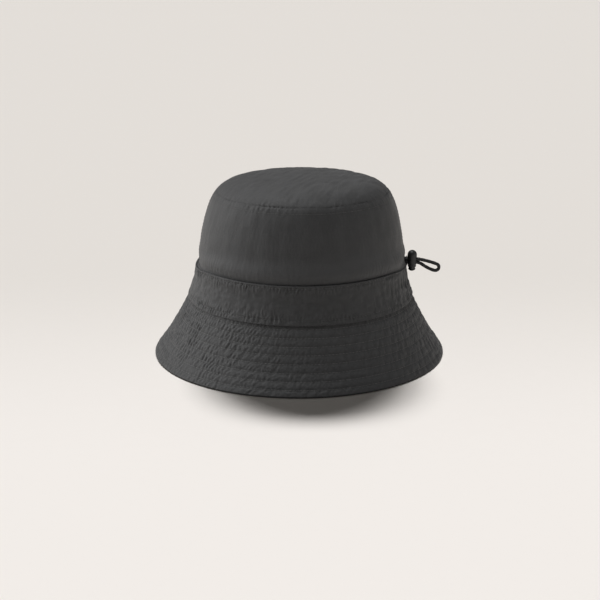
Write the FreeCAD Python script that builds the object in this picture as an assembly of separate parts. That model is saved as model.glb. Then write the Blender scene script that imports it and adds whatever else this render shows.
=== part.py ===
import FreeCAD, Part
import math
import os

# Bucket hat with a drawcord band and a sprung cord lock. Millimetres, +Z up.
# The brim's edge stands on the plane z = 0, and the origin is the centre of that edge.
# The front of the hat is -Y, the back, where the cord comes out, is +Y, and the wearer's left is +X.
# Every fabric piece is a layer of one oval body: an outline of (front-to-back radius, height)
# points is turned about Z, then narrowed across X and leaned back a little.

# Overall form
SIDE_RATIO = 0.93          # width over length of the oval
LEAN = 0.020               # how far the crown moves back for each millimetre of height

# Outer outlines, from the bottom up, as (radius, height)
BRIM_OUTLINE = [(131.0, -6.0), (127.1, 0.0), (115.3, 17.3), (105.8, 34.7), (97.3, 52.3), (96.2, 56.0)]
BAND_OUTLINE = [(98.6, 52.3), (93.6, 68.3), (92.1, 78.5), (91.6, 83.5), (90.9, 86.1)]
CROWN_OUTLINE = [
    (96.0, 56.4), (91.8, 67.3), (87.3, 76.5), (86.4, 81.6), (87.0, 85.2), (88.5, 89.4),
    (88.0, 97.9), (86.4, 108.1), (84.3, 118.3), (81.5, 128.5), (77.7, 138.1), (73.6, 144.6),
    (69.4, 148.2), (62.9, 151.4), (46.0, 154.2), (24.0, 155.5), (0.0, 155.9),
]
TIP_SEAM_Z = 144.6         # the tip panel is sewn to the side panels here
CLEAR = 200.0              # beyond every point of the hat, in any direction

# Thicknesses and the gaps between layers
FABRIC = 0.7
INTERLINING = 0.5
LINING = 0.4
SWEATBAND = 0.9
PLY_GAP = 0.2
BRIM_TOP_Z = 56.0          # height of the brim's sewn inner edge
BRIM_EDGE_FOLD = 0.8       # height of the fold that closes the brim's edge
BAND_LIP_Z = 85.3          # the band's top edge is folded in above this height
BAND_LIP_DEPTH = 2.5
SWEATBAND_BOTTOM_Z = 56.6
SWEATBAND_TOP_Z = 86.0
LINING_GAP = 0.5
LINING_TIP_Z = 143.0

# Drawcord, its eyelet and the free loop
CORD_D = 3.0
CORD_Z = 81.0              # height of the eyelet's centre
STRAND_OFFSET = 1.53       # the two strands leave one above the other
CHANNEL_SIDES = 24         # runs of the cord round the channel
CHANNEL_GAP = 0.3          # between the cord and the crown inside the channel, at the lower strand
CORD_BEND = 2.6            # radius where a strand turns out of the channel
EYELET_HOLE_R = 3.1
EYELET_BARREL_R = 3.5
BARREL_CLEARANCE = 0.1     # between the barrel and the band's hole
EYELET_FLANGE_R = 4.3
EYELET_FLANGE = 0.5
EYELET_BEVEL = 0.2
FLANGE_STANDOFF = 0.42     # keeps the flat flange clear of the curved band
WASHER_R = 4.2
WASHER = 0.3
WASHER_DEPTH = 1.7         # from the band's outer surface to the washer's inner face

# The free loop's route at x = 0, as (y, z), out of the eyelet, through the lock and back
LOOP_ROUTE = [
    (94.4, 82.53), (98.8, 82.6), (103.6, 82.45), (108.9, 81.4), (114.2, 80.0), (118.8, 78.5),
    (122.2, 77.1), (122.7, 73.6), (119.9, 71.5), (115.1, 73.1), (110.1, 75.8), (105.2, 79.3),
    (100.2, 79.5), (94.4, 79.47),
]

# Cord lock, as heights above or below the centre of its cord slot
LOCK_Y = 98.8
LOCK_R = 4.1
LOCK_NECK_R = 3.65
LOCK_TOP = 9.5
LOCK_BOTTOM = -5.5
CAVITY_R = 2.98
CAVITY_TOP = 8.3
CAVITY_EDGE = 6.6          # the cavity's straight wall ends here, under its domed top
PLUNGER_R = 2.9
PLUNGER_TOP = 4.3
NUB_R = 1.2                # the plunger's nub keeps the spring central
NUB = 1.2
SLOT_W = 3.3
SLOT_HALF = 3.25
SLOT_DEPTH = 20.0          # of the cutter, which runs right through the lock
BUTTON_TRAVEL = 1.8
BUTTON_HEAD_R = 3.3
BUTTON_BOTTOM = -9.3
SPRING_R = 1.9
SPRING_TOP = 7.4
SPRING_WIRE = 0.45
SPRING_TURNS = 4

# Blank care label inside the back
LABEL_W = 22.0
LABEL_T = 0.5
LABEL_BOTTOM_Z = 64.0
LABEL_CLEARANCE = 1.2      # a flat label stands off the curved sweatband

ORIGIN = FreeCAD.Vector(0, 0, 0)
Y_AXIS = FreeCAD.Vector(0, 1, 0)
Z_AXIS = FreeCAD.Vector(0, 0, 1)


def at(x, y, z):
    return FreeCAD.Vector(x, y, z)


def save(name, shape):
    solids = len(shape.Solids)
    print(f"{name}: valid {shape.isValid()}, solids {solids}, volume {shape.Volume:.1f} mm3")
    shape.exportStep(f"parts/{name}.step")


# ---------------------------------------------------------------- fabric layers

def smooth(points):
    """The curve through points, level where it ends on the hat's axis."""
    curve = Part.BSplineCurve()
    if points[-1].y > 0:
        curve.interpolate(points)
        return curve
    curve.interpolate(Points=points, InitialTangent=points[1] - points[0], FinalTangent=at(0, -1, 0))
    return curve


def outline_curve(points, depth=0.0):
    """The curve through the outline's points, moved inwards by depth along its own normals."""
    curve = smooth([at(0, radius, height) for radius, height in points])
    if depth == 0.0:
        return curve
    moved = []
    for radius, height in points:
        direction = curve.tangent(curve.parameter(at(0, radius, height)))[0]
        on_axis = radius == 0.0
        inward = at(0, 0, -1) if on_axis else at(0, -direction.z, direction.y)
        moved.append(at(0, radius, height) + inward * depth)
    return smooth(moved)


def layer(points, near, far):
    """The flat section between two depths under an outline."""
    outer = outline_curve(points, near)
    inner = outline_curve(points, far)
    start = Part.LineSegment(inner.StartPoint, outer.StartPoint)
    end = Part.LineSegment(outer.EndPoint, inner.EndPoint)
    wire = Part.Wire([outer.toShape(), end.toShape(), inner.toShape(), start.toShape()])
    return Part.Face(wire)


def between(section, low, high):
    """The part of a section that lies between two heights."""
    corners = [at(0, -1, low), at(0, CLEAR, low), at(0, CLEAR, high), at(0, -1, high), at(0, -1, low)]
    window = Part.Face(Part.makePolygon(corners))
    return section.common(window).Faces[0]


def oval(shape):
    """Narrows a round piece across X and leans it back."""
    matrix = FreeCAD.Matrix()
    matrix.A11 = SIDE_RATIO
    matrix.A23 = LEAN
    return shape.transformGeometry(matrix)


def ring(section):
    """A section turned all the way round."""
    return oval(section.revolve(ORIGIN, Z_AXIS, 360))


def halves(section):
    """A section turned half round on each side of the front-to-back plane: (left, right)."""
    left = section.revolve(ORIGIN, Z_AXIS, -180)
    right = section.revolve(ORIGIN, Z_AXIS, 180)
    return oval(left), oval(right)


def radius_at(points, height, depth=0.0):
    """The outline's radius where it passes a height, at a depth under its surface."""
    curve = outline_curve(points, depth)
    low, high = curve.FirstParameter, curve.LastParameter
    for _ in range(50):
        middle = (low + high) / 2
        if curve.value(middle).z < height:
            low = middle
        else:
            high = middle
    return curve.value(low).y


def make_crown():
    side = between(layer(CROWN_OUTLINE, 0, FABRIC), 0, TIP_SEAM_Z)
    tip = between(layer(CROWN_OUTLINE, 0, FABRIC), TIP_SEAM_Z, CLEAR)
    left, right = halves(side)
    save("crown_side_left", left)
    save("crown_side_right", right)
    save("crown_tip", ring(tip))


def make_lining():
    near = FABRIC + LINING_GAP
    far = near + LINING
    side = between(layer(CROWN_OUTLINE, near, far), SWEATBAND_TOP_Z + PLY_GAP, LINING_TIP_Z)
    tip = between(layer(CROWN_OUTLINE, near, far), LINING_TIP_Z, CLEAR)
    left, right = halves(side)
    save("lining_side_left", left)
    save("lining_side_right", right)
    save("lining_tip", ring(tip))


def make_sweatband():
    near = FABRIC + PLY_GAP
    section = between(layer(CROWN_OUTLINE, near, near + SWEATBAND), SWEATBAND_BOTTOM_Z, SWEATBAND_TOP_Z)
    save("sweatband", ring(section))


def levelled(shape):
    """A piece of the brim cut flat on the plane z = 0, which the hat stands on."""
    below = Part.makeBox(2 * CLEAR, 2 * CLEAR, CLEAR, at(-CLEAR, -CLEAR, -CLEAR))
    return shape.cut(below)


def make_brim():
    """Two fabric plies with a stiffening interlining between them, closed by a fold at the edge."""
    inner_near = FABRIC + PLY_GAP
    inner_far = inner_near + INTERLINING
    under_near = inner_far + PLY_GAP
    under_far = under_near + FABRIC
    ply_start = BRIM_EDGE_FOLD + PLY_GAP
    top_ply = between(layer(BRIM_OUTLINE, 0, FABRIC), -BRIM_EDGE_FOLD, BRIM_TOP_Z)
    fold = between(layer(BRIM_OUTLINE, 0, under_far), -BRIM_EDGE_FOLD, BRIM_EDGE_FOLD)
    top = top_ply.fuse(fold).removeSplitter().Faces[0]
    left, right = halves(top)
    save("brim_top_left", levelled(left))
    save("brim_top_right", levelled(right))
    save("brim_interlining", ring(between(layer(BRIM_OUTLINE, inner_near, inner_far), ply_start, BRIM_TOP_Z)))
    left, right = halves(between(layer(BRIM_OUTLINE, under_near, under_far), ply_start, BRIM_TOP_Z))
    save("brim_under_left", left)
    save("brim_under_right", right)


def back_of_band():
    """The y of the band's outer surface at the centre back, at the eyelet's height."""
    return radius_at(BAND_OUTLINE, CORD_Z) + LEAN * CORD_Z


def make_band():
    """A strip whose top edge is folded in over the cord, with a hole for the eyelet."""
    lip = between(layer(BAND_OUTLINE, 0, BAND_LIP_DEPTH), BAND_LIP_Z, CLEAR)
    section = layer(BAND_OUTLINE, 0, FABRIC).fuse(lip).removeSplitter().Faces[0]
    band = ring(section)
    hole_start = at(0, back_of_band() - 5, CORD_Z)
    hole = Part.makeCylinder(EYELET_BARREL_R + BARREL_CLEARANCE, 10, hole_start, Y_AXIS)
    save("channel_band", band.cut(hole))


# ---------------------------------------------------------------- eyelet

def turned_about_y(points, y0):
    """A closed outline of (radius, distance along +Y) points turned about the eyelet's axis."""
    corners = [at(0, y0 + along, CORD_Z + radius) for radius, along in points]
    corners.append(corners[0])
    face = Part.Face(Part.makePolygon(corners))
    return face.revolve(at(0, 0, CORD_Z), Y_AXIS, 360)


def flange_front():
    return back_of_band() + FLANGE_STANDOFF + EYELET_FLANGE


def make_eyelet():
    """A barrel with a rounded flange outside the band, riveted over a washer inside it."""
    front = flange_front()
    washer_back = back_of_band() - WASHER_DEPTH
    barrel_length = front - washer_back
    points = [
        (EYELET_HOLE_R, -barrel_length),
        (EYELET_BARREL_R, -barrel_length),
        (EYELET_BARREL_R, -EYELET_FLANGE),
        (EYELET_FLANGE_R, -EYELET_FLANGE),
        (EYELET_FLANGE_R, -EYELET_BEVEL),
        (EYELET_FLANGE_R - EYELET_BEVEL, 0.0),
        (EYELET_HOLE_R + EYELET_BEVEL, 0.0),
        (EYELET_HOLE_R, -EYELET_BEVEL),
    ]
    print(f"  eyelet front at y = {front:.2f}")
    save("eyelet", turned_about_y(points, front))
    washer_hole = EYELET_BARREL_R + 0.05
    washer = [(washer_hole, 0), (WASHER_R, 0), (WASHER_R, WASHER), (washer_hole, WASHER)]
    save("eyelet_washer", turned_about_y(washer, washer_back))


# ---------------------------------------------------------------- cord

def rounded_route(points, corner_radius=None):
    """Straight runs joined by tangent arcs. An arc is as large as its two runs allow, unless
    corner_radius gives that corner's own."""
    edges = []
    radii = []
    start = points[0]
    for i in range(1, len(points) - 1):
        here = points[i]
        back = points[i - 1] - here
        ahead = points[i + 1] - here
        shorter = min(back.Length, ahead.Length)
        back.normalize()
        ahead.normalize()
        turn = math.pi - back.getAngle(ahead)
        radius = 0.45 * shorter / math.tan(turn / 2)
        if corner_radius and i in corner_radius:
            radius = corner_radius[i]
        cut = radius * math.tan(turn / 2)
        first = here + back * cut
        last = here + ahead * cut
        middle_way = back + ahead
        middle_way.normalize()
        middle = here + middle_way * (radius / math.cos(turn / 2) - radius)
        edges.append(Part.LineSegment(start, first).toShape())
        edges.append(Part.Arc(first, middle, last).toShape())
        radii.append(radius)
        start = last
    edges.append(Part.LineSegment(start, points[-1]).toShape())
    return Part.Wire(edges), radii


def tube(points, corner_radius=None):
    """A round cord along a rounded route."""
    route, radii = rounded_route(points, corner_radius)
    direction = points[1] - points[0]
    section = Part.Wire([Part.makeCircle(CORD_D / 2, points[0], direction)])
    solid = route.makePipeShell([section], True, True)
    expected = math.pi * CORD_D ** 2 / 4 * route.Length
    print(f"  route {route.Length:.1f} mm, radii {min(radii):.1f} to {max(radii):.1f} mm, "
          f"volume {solid.Volume:.1f} against {expected:.1f} mm3")
    return solid


def make_drawcord():
    """The stretch in the channel: once round the hat from the upper strand to the lower one,
    falling evenly by the distance between them, with a tight bend out of the eyelet at each end."""
    upper = CORD_Z + STRAND_OFFSET
    lower = CORD_Z - STRAND_OFFSET
    channel_radius = radius_at(CROWN_OUTLINE, lower) + CHANNEL_GAP + CORD_D / 2
    half_step = math.pi / CHANNEL_SIDES
    corner = channel_radius / math.cos(half_step)
    exit_y = LOOP_ROUTE[0][0]
    turn_y = channel_radius + LEAN * CORD_Z
    route = [at(0, exit_y, upper), at(0, turn_y, upper)]
    for i in range(CHANNEL_SIDES):
        angle = 2 * half_step * (i + 0.5)
        height = upper - (upper - lower) * (i + 0.5) / CHANNEL_SIDES
        x = SIDE_RATIO * corner * math.sin(angle)
        y = corner * math.cos(angle) + LEAN * height
        route.append(at(x, y, height))
    route += [at(0, turn_y, lower), at(0, exit_y, lower)]
    save("drawcord", tube(route, {1: CORD_BEND, len(route) - 2: CORD_BEND}))


def make_loop():
    """The free loop outside the eyelet, which the cord lock grips."""
    save("drawcord_loop", tube([at(0, y, z) for y, z in LOOP_ROUTE]))


# ---------------------------------------------------------------- cord lock

def slot_cutter(low, high):
    """A slot through the lock along Y with round ends, between two heights about the slot's centre."""
    radius = SLOT_W / 2
    y = LOCK_Y - SLOT_DEPTH / 2
    top = CORD_Z + high - radius
    bottom = CORD_Z + low + radius
    edges = [
        Part.LineSegment(at(radius, y, bottom), at(radius, y, top)).toShape(),
        Part.Arc(at(radius, y, top), at(0, y, top + radius), at(-radius, y, top)).toShape(),
        Part.LineSegment(at(-radius, y, top), at(-radius, y, bottom)).toShape(),
        Part.Arc(at(-radius, y, bottom), at(0, y, bottom - radius), at(radius, y, bottom)).toShape(),
    ]
    return Part.Face(Part.Wire(edges)).extrude(at(0, SLOT_DEPTH, 0))


def dome(radius, edge, top):
    """Three (radius, height) points of a spherical cap, from its edge to its top on the axis.
    The top may be above the edge or below it."""
    rise = abs(top - edge)
    way = math.copysign(1, top - edge)
    sphere = (radius ** 2 + rise ** 2) / (2 * rise)
    centre = top - way * sphere
    half_angle = math.atan2(radius, sphere - rise) / 2
    middle = (sphere * math.sin(half_angle), centre + way * sphere * math.cos(half_angle))
    return [(radius, edge), middle, (0, top)]


def turned_about_lock(edges):
    """A closed outline of edges, given as lines and arcs of (radius, height) points, turned.
    The outline starts out along +X, so the seam of the turned faces stays clear of the slot."""
    shapes = []
    for edge in edges:
        corners = [at(radius, LOCK_Y, CORD_Z + height) for radius, height in edge]
        if len(corners) == 2:
            shapes.append(Part.LineSegment(*corners).toShape())
        else:
            shapes.append(Part.Arc(*corners).toShape())
    return Part.Face(Part.Wire(shapes)).revolve(at(0, LOCK_Y, 0), Z_AXIS, 360)


def make_lock_body():
    """A barrel with a domed top, a narrower neck under the slot, and a cavity open downwards."""
    outer = [
        list(reversed(dome(LOCK_R, LOCK_TOP - LOCK_R, LOCK_TOP))),
        [(LOCK_R, LOCK_TOP - LOCK_R), (LOCK_R, -1.9)],
        [(LOCK_R, -1.9), (4.0, -2.75), (LOCK_NECK_R, -3.3)],
        [(LOCK_NECK_R, -3.3), (LOCK_NECK_R, LOCK_BOTTOM + 0.5)],
        [(LOCK_NECK_R, LOCK_BOTTOM + 0.5), (3.5, LOCK_BOTTOM + 0.15), (3.2, LOCK_BOTTOM)],
        [(3.2, LOCK_BOTTOM), (CAVITY_R, LOCK_BOTTOM)],
        [(CAVITY_R, LOCK_BOTTOM), (CAVITY_R, CAVITY_EDGE)],
        dome(CAVITY_R, CAVITY_EDGE, CAVITY_TOP),
        [(0, CAVITY_TOP), (0, LOCK_TOP)],
    ]
    body = turned_about_lock(outer).cut(slot_cutter(-SLOT_HALF, SLOT_HALF))
    save("cord_lock_body", body)


def make_lock_button():
    """A plunger with its own slot and a domed head. Its slot is longer downwards by the travel."""
    head_top = LOCK_BOTTOM - BUTTON_TRAVEL - 0.1
    nub_top = PLUNGER_TOP + NUB
    outline = [
        [(0, nub_top), (NUB_R, nub_top)],
        [(NUB_R, nub_top), (NUB_R, PLUNGER_TOP)],
        [(NUB_R, PLUNGER_TOP), (PLUNGER_R, PLUNGER_TOP)],
        [(PLUNGER_R, PLUNGER_TOP), (PLUNGER_R, head_top)],
        [(PLUNGER_R, head_top), (BUTTON_HEAD_R, head_top)],
        dome(BUTTON_HEAD_R, head_top, BUTTON_BOTTOM),
        [(0, BUTTON_BOTTOM), (0, nub_top)],
    ]
    slot = slot_cutter(-SLOT_HALF - BUTTON_TRAVEL, SLOT_HALF)
    save("cord_lock_button", turned_about_lock(outline).cut(slot))


def make_lock_spring():
    """A compression spring between the plunger's shoulder and the top of the cavity."""
    low = PLUNGER_TOP + SPRING_WIRE / 2 + 0.02
    high = SPRING_TOP - SPRING_WIRE / 2
    pitch = (high - low) / SPRING_TURNS
    helix = Part.makeHelix(pitch, high - low, SPRING_R)
    section = Part.Wire([Part.makeCircle(SPRING_WIRE / 2, at(SPRING_R, 0, 0), Y_AXIS)])
    spring = Part.Wire(helix.Edges).makePipeShell([section], True, True)
    spring.translate(at(0, LOCK_Y, CORD_Z + low))
    save("cord_lock_spring", spring)


# ---------------------------------------------------------------- label

def make_label():
    """A blank folded label sewn in above the sweatband at the centre back."""
    depth = FABRIC + PLY_GAP + SWEATBAND
    inner_y = radius_at(CROWN_OUTLINE, CORD_Z, depth) + LEAN * LABEL_BOTTOM_Z
    height = SWEATBAND_TOP_Z - LABEL_BOTTOM_Z
    corner = at(-LABEL_W / 2, inner_y - LABEL_CLEARANCE - LABEL_T, LABEL_BOTTOM_Z)
    save("care_label", Part.makeBox(LABEL_W, LABEL_T, height, corner))


os.makedirs("parts", exist_ok=True)
make_crown()
make_lining()
make_sweatband()
make_brim()
make_band()
make_eyelet()
make_drawcord()
make_loop()
make_lock_body()
make_lock_button()
make_lock_spring()
make_label()
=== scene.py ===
import itertools
import math

import bpy
import numpy as np
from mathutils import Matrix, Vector


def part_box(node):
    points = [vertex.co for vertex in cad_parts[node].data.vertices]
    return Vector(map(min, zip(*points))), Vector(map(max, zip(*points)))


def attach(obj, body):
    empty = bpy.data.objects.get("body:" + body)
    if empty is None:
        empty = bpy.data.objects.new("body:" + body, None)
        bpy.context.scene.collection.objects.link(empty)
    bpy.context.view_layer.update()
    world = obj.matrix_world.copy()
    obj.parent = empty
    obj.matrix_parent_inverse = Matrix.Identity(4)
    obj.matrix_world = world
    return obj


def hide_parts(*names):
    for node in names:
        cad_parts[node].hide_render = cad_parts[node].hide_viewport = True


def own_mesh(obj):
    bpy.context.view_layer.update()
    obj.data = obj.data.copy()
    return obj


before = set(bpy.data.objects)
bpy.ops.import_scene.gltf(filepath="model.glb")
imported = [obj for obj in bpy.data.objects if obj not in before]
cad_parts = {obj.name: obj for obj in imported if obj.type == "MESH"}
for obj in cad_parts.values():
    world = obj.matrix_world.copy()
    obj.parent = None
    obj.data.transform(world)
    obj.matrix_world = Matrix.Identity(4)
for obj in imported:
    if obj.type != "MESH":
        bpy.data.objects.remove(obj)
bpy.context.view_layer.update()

# A bucket hat of charcoal nylon with a quilted brim, a drawcord band and a cord lock at the back.
# The front is -Y, the back is +Y and the camera stands on the wearer's left, +X.
# Lengths are in millimetres until a mesh is made; Blender's own units are metres.

MM = 0.001

# The same outlines as the CAD part's, as (front-to-back radius, height)
SIDE_RATIO = 0.93
LEAN = 0.02
BRIM_OUTLINE = [(131.0, -6.0), (127.1, 0.0), (115.3, 17.3), (105.8, 34.7), (97.3, 52.3), (96.2, 56.0)]
BAND_OUTLINE = [(98.6, 52.3), (93.6, 68.3), (92.1, 78.5), (91.6, 83.5), (90.9, 86.1)]
CROWN_OUTLINE = [
    (96.0, 56.4), (91.8, 67.3), (87.3, 76.5), (86.4, 81.6), (87.0, 85.2), (88.5, 89.4),
    (88.0, 97.9), (86.4, 108.1), (84.3, 118.3), (81.5, 128.5), (77.7, 138.1), (73.6, 144.6),
    (69.4, 148.2), (62.9, 151.4), (46.0, 154.2), (24.0, 155.5), (0.0, 155.9),
]
FABRIC = 0.7
LINING_DEPTH = 1.9
SWEATBAND_DEPTH = 0.95
CORD_Z = 81.0

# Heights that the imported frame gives
BRIM_TOP_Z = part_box("brim_top_left")[1].z / MM
BAND_TOP_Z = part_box("channel_band")[1].z / MM
BAND_LOW_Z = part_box("channel_band")[0].z / MM
SEAM_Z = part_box("crown_tip")[0].z / MM
CROWN_LOW_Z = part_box("crown_side_left")[0].z / MM
SWEATBAND_LOW_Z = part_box("sweatband")[0].z / MM
SWEATBAND_TOP_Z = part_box("sweatband")[1].z / MM
LINING_SEAM_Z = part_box("lining_tip")[0].z / MM
PAST_TOP_Z = CROWN_OUTLINE[-1][1] + 1.0

# Rows of quilting, as shares of the way from the brim's seam to its edge
BRIM_ROWS = (0.057, 0.180, 0.302, 0.421, 0.547, 0.673, 0.792, 0.910)


# ---------------------------------------------------------------- camera

def add_camera():
    """From the wearer's left, about 18 degrees above the floor."""
    data = bpy.data.cameras.new("camera")
    data.lens = 72.0
    data.sensor_width = 36.0
    camera = bpy.data.objects.new("camera", data)
    camera.location = (1.0088, 0.00076, 0.3743)
    camera.rotation_euler = (math.radians(90 - 18.1), 0.0, math.radians(90))
    bpy.context.scene.collection.objects.link(camera)
    bpy.context.scene.camera = camera


add_camera()


# ---------------------------------------------------------------- materials

def node(tree, kind, **settings):
    """A shader node with its inputs' values, and any other settings, by name."""
    made = tree.nodes.new(kind)
    for key, value in settings.items():
        if key in made.inputs:
            made.inputs[key].default_value = value
        else:
            setattr(made, key, value)
    return made


def new_material(name, colour, roughness, specular, metallic=0.0, sheen=0.0):
    """A material with its Principled shader: (material, tree, shader)."""
    material = bpy.data.materials.new(name)
    material.use_nodes = True
    tree = material.node_tree
    shader = tree.nodes["Principled BSDF"]
    shader.inputs["Base Color"].default_value = (*colour, 1.0)
    shader.inputs["Roughness"].default_value = roughness
    shader.inputs["Specular IOR Level"].default_value = specular
    shader.inputs["Metallic"].default_value = metallic
    shader.inputs["Sheen Weight"].default_value = sheen
    shader.inputs["Sheen Roughness"].default_value = 0.5
    material.diffuse_color = (*colour, 1.0)
    return material, tree, shader


def math_node(tree, operation, first, second):
    """A sum, product or other result of two numbers or outputs."""
    made = node(tree, "ShaderNodeMath", operation=operation)
    for slot, value in enumerate((first, second)):
        if isinstance(value, (int, float)):
            made.inputs[slot].default_value = value
        else:
            tree.links.new(value, made.inputs[slot])
    return made.outputs[0]


def colour_between(tree, factor, low, high):
    """A colour that runs from low to high as factor runs from 0 to 1."""
    ramp = tree.nodes.new("ShaderNodeValToRGB")
    ramp.color_ramp.elements[0].color = (*low, 1.0)
    ramp.color_ramp.elements[1].color = (*high, 1.0)
    tree.links.new(factor, ramp.inputs["Fac"])
    return ramp.outputs["Color"]


def weighted_sum(tree, base, *terms):
    """base plus the product of each (value, weight) pair."""
    total = base
    for value, weight in terms:
        total = math_node(tree, "ADD", math_node(tree, "MULTIPLY", value, weight), total)
    return total


def connect(tree, shader, colour, normal, roughness=None):
    """Feeds a Principled shader's inputs."""
    tree.links.new(colour, shader.inputs["Base Color"])
    tree.links.new(normal, shader.inputs["Normal"])
    if roughness is not None:
        tree.links.new(roughness, shader.inputs["Roughness"])


def object_place(tree):
    """The place on the object, in metres."""
    return node(tree, "ShaderNodeTexCoord").outputs["Object"]


def cloth_and_relief(tree):
    """The place on the flat cloth, in metres, and the height of its relief."""
    cloth = node(tree, "ShaderNodeUVMap", uv_map="Cloth").outputs["UV"]
    relief = node(tree, "ShaderNodeAttribute", attribute_name="relief").outputs["Fac"]
    return cloth, relief


def noise(tree, vector, scale=1.0, detail=2.0, roughness=0.5):
    made = node(tree, "ShaderNodeTexNoise", Scale=scale, Detail=detail, Roughness=roughness)
    tree.links.new(vector, made.inputs["Vector"])
    return made.outputs["Fac"]


def stretched(tree, vector, scale):
    """vector with its axes scaled apart, so that a pattern on it runs in streaks."""
    mapping = node(tree, "ShaderNodeMapping")
    mapping.inputs["Scale"].default_value = scale
    tree.links.new(vector, mapping.inputs["Vector"])
    return mapping.outputs["Vector"]


WAVE_LENGTH = 0.314  # of Blender's wave texture at scale 1, in metres


def weave_height(tree, cloth, pitch):
    """A plain weave: warp and weft threads that pass over each other, `pitch` metres apart."""
    threads = []
    for direction in ("X", "Y"):
        wave = node(tree, "ShaderNodeTexWave", wave_type="BANDS", bands_direction=direction,
                    wave_profile="SIN", Scale=WAVE_LENGTH / pitch, Distortion=0.6, Detail=1.0)
        tree.links.new(cloth, wave.inputs["Vector"])
        threads.append(wave.outputs["Fac"])
    return math_node(tree, "MAXIMUM", *threads)


def bump(tree, height, strength, distance, below=None):
    made = node(tree, "ShaderNodeBump", Strength=strength, Distance=distance)
    tree.links.new(height, made.inputs["Height"])
    if below is not None:
        tree.links.new(below, made.inputs["Normal"])
    return made.outputs["Normal"]


def fabric(name, dark, light, roughness, pitch, streaks=0.0, sheen=0.0):
    """Woven cloth: thread pattern, slubs in both directions, blotches, and painted shade from the relief,
    darker in its hollows and lighter on its crests.
    """
    material, tree, shader = new_material(name, light, roughness, 0.35, sheen=sheen)
    cloth, relief = cloth_and_relief(tree)
    weave = weave_height(tree, cloth, pitch)
    slub_up = noise(tree, stretched(tree, cloth, (1400.0, 60.0, 1.0)))
    slub_round = noise(tree, stretched(tree, cloth, (60.0, 1400.0, 1.0)))
    slubs = math_node(tree, "MULTIPLY", slub_up, slub_round)
    blotch = noise(tree, cloth, 45.0, 4.0, 0.6)
    # painted shade: the relief term darkens the cloth's hollows and lightens its crests
    tone = weighted_sum(tree, -0.42, (weave, 0.22), (slubs, 0.75), (blotch, 0.45), (relief, 0.80))
    rough = weighted_sum(tree, roughness - 0.08, (blotch, 0.16))
    normal = bump(tree, weave, 0.35, 0.00012)
    normal = bump(tree, slubs, 0.35, 0.00025, normal)
    if streaks:
        crinkle = noise(tree, stretched(tree, cloth, (420.0, 120.0, 1.0)), 1.0, 3.0, 0.6)
        normal = bump(tree, crinkle, streaks, 0.0006, normal)
    connect(tree, shader, colour_between(tree, tone, dark, light), normal, rough)
    return material


SHELL_DARK = (0.0268, 0.0272, 0.0280)
SHELL_LIGHT = (0.0443, 0.0449, 0.0463)
SHELL_PITCH = 0.00042
shell_fabric = fabric("charcoal_nylon", SHELL_DARK, SHELL_LIGHT, 0.62, SHELL_PITCH, streaks=0.25, sheen=0.12)
under_fabric = fabric(
    "charcoal_nylon_underside", SHELL_DARK, SHELL_LIGHT, 0.66, SHELL_PITCH, streaks=0.35, sheen=0.08)
sweat_fabric = fabric("sweatband_twill", (0.022, 0.022, 0.024), (0.038, 0.038, 0.041), 0.85, 0.0008)
lining_fabric = fabric(
    "lining_taffeta", (0.020, 0.020, 0.021), (0.036, 0.036, 0.038), 0.45, 0.0003, sheen=0.1)
label_fabric = fabric("woven_label", (0.45, 0.44, 0.41), (0.62, 0.61, 0.57), 0.5, 0.0004, sheen=0.2)


def thread_material(name, dark, light):
    """Twisted sewing thread: fine diagonal plies along each stitch."""
    material, tree, shader = new_material(name, light, 0.55, 0.4, sheen=0.15)
    place = object_place(tree)
    ply = node(tree, "ShaderNodeTexWave", wave_type="BANDS", bands_direction="DIAGONAL",
               Scale=900.0, Distortion=1.5)
    tree.links.new(place, ply.inputs["Vector"])
    tone = weighted_sum(tree, 0.0, (ply.outputs["Fac"], 0.5), (noise(tree, place, 320.0), 0.5))
    normal = bump(tree, ply.outputs["Fac"], 0.4, 0.00008)
    connect(tree, shader, colour_between(tree, tone, dark, light), normal)
    return material


row_thread = thread_material("quilting_thread", (0.085, 0.085, 0.084), (0.135, 0.135, 0.132))
tonal_thread = thread_material("tonal_thread", (0.045, 0.045, 0.045), (0.085, 0.085, 0.083))
inner_thread = thread_material("inner_thread", (0.06, 0.06, 0.06), (0.11, 0.11, 0.11))


def braid_material():
    """Black elastic braid: the strands' own shape is in the mesh, fine fibres are in the finish, and painted
    shade darkens the gaps between the strands.
    """
    material, tree, shader = new_material("braided_elastic", (0.012, 0.012, 0.012), 0.6, 0.4, sheen=0.1)
    cloth, relief = cloth_and_relief(tree)
    fibre = noise(tree, stretched(tree, cloth, (9000.0, 900.0, 1.0)))
    # painted shade: the strands' relief darkens the gaps between them and lightens their crests
    tone = weighted_sum(tree, 0.0, (fibre, 0.6), (relief, 0.5))
    colour = colour_between(tree, tone, (0.006, 0.006, 0.006), (0.022, 0.022, 0.023))
    connect(tree, shader, colour, bump(tree, fibre, 0.5, 0.0001))
    return material


def plastic_material(name, dark, light, roughness):
    """Moulded plastic: fine spark-eroded grain, faint flow marks, and polish where fingers rub."""
    material, tree, shader = new_material(name, light, roughness, 0.5)
    place = object_place(tree)
    grain = noise(tree, place, 5200.0, 2.0, 0.6)
    flow = noise(tree, stretched(tree, place, (350.0, 350.0, 90.0)), 1.0, 3.0)
    wear = noise(tree, place, 260.0, 4.0, 0.65)
    rough = weighted_sum(tree, roughness - 0.15, (wear, 0.3))
    connect(tree, shader, colour_between(tree, flow, dark, light), bump(tree, grain, 0.25, 0.00006), rough)
    return material


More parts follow.
